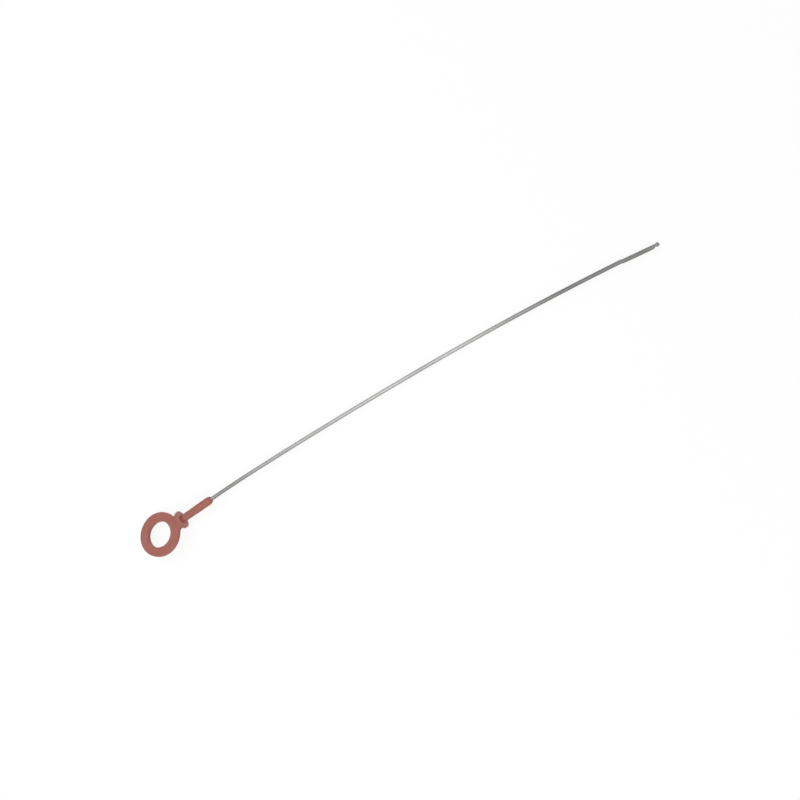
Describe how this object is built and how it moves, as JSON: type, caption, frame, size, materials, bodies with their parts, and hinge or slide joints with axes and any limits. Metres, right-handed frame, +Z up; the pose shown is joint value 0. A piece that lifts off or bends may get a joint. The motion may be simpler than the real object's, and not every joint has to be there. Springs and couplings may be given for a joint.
{
  "type": "engine oil dipstick",
  "caption": "Engine oil dipstick: a long bowed steel wire with a pressed measuring end and a moulded plastic finger ring, stop flange and plug stem.",
  "frame": {"origin": "under the middle of the part's box, on the level surface that it lies on", "axes": "+Z up from the surface, +X level along the stem towards the tip, +Y to the ring's lower side"},
  "size_m": [0.4408, 0.0494, 0.0156],
  "materials": {
    "handle_plastic": "satin moulded plastic in brick red, slightly faded",
    "wire_steel": "drawn steel wire with a dull satin surface and fine lengthwise draw lines"
  },
  "bodies": {
    "root": {"handle": "handle_plastic", "wire": "wire_steel"}
  },
  "joints": []
}
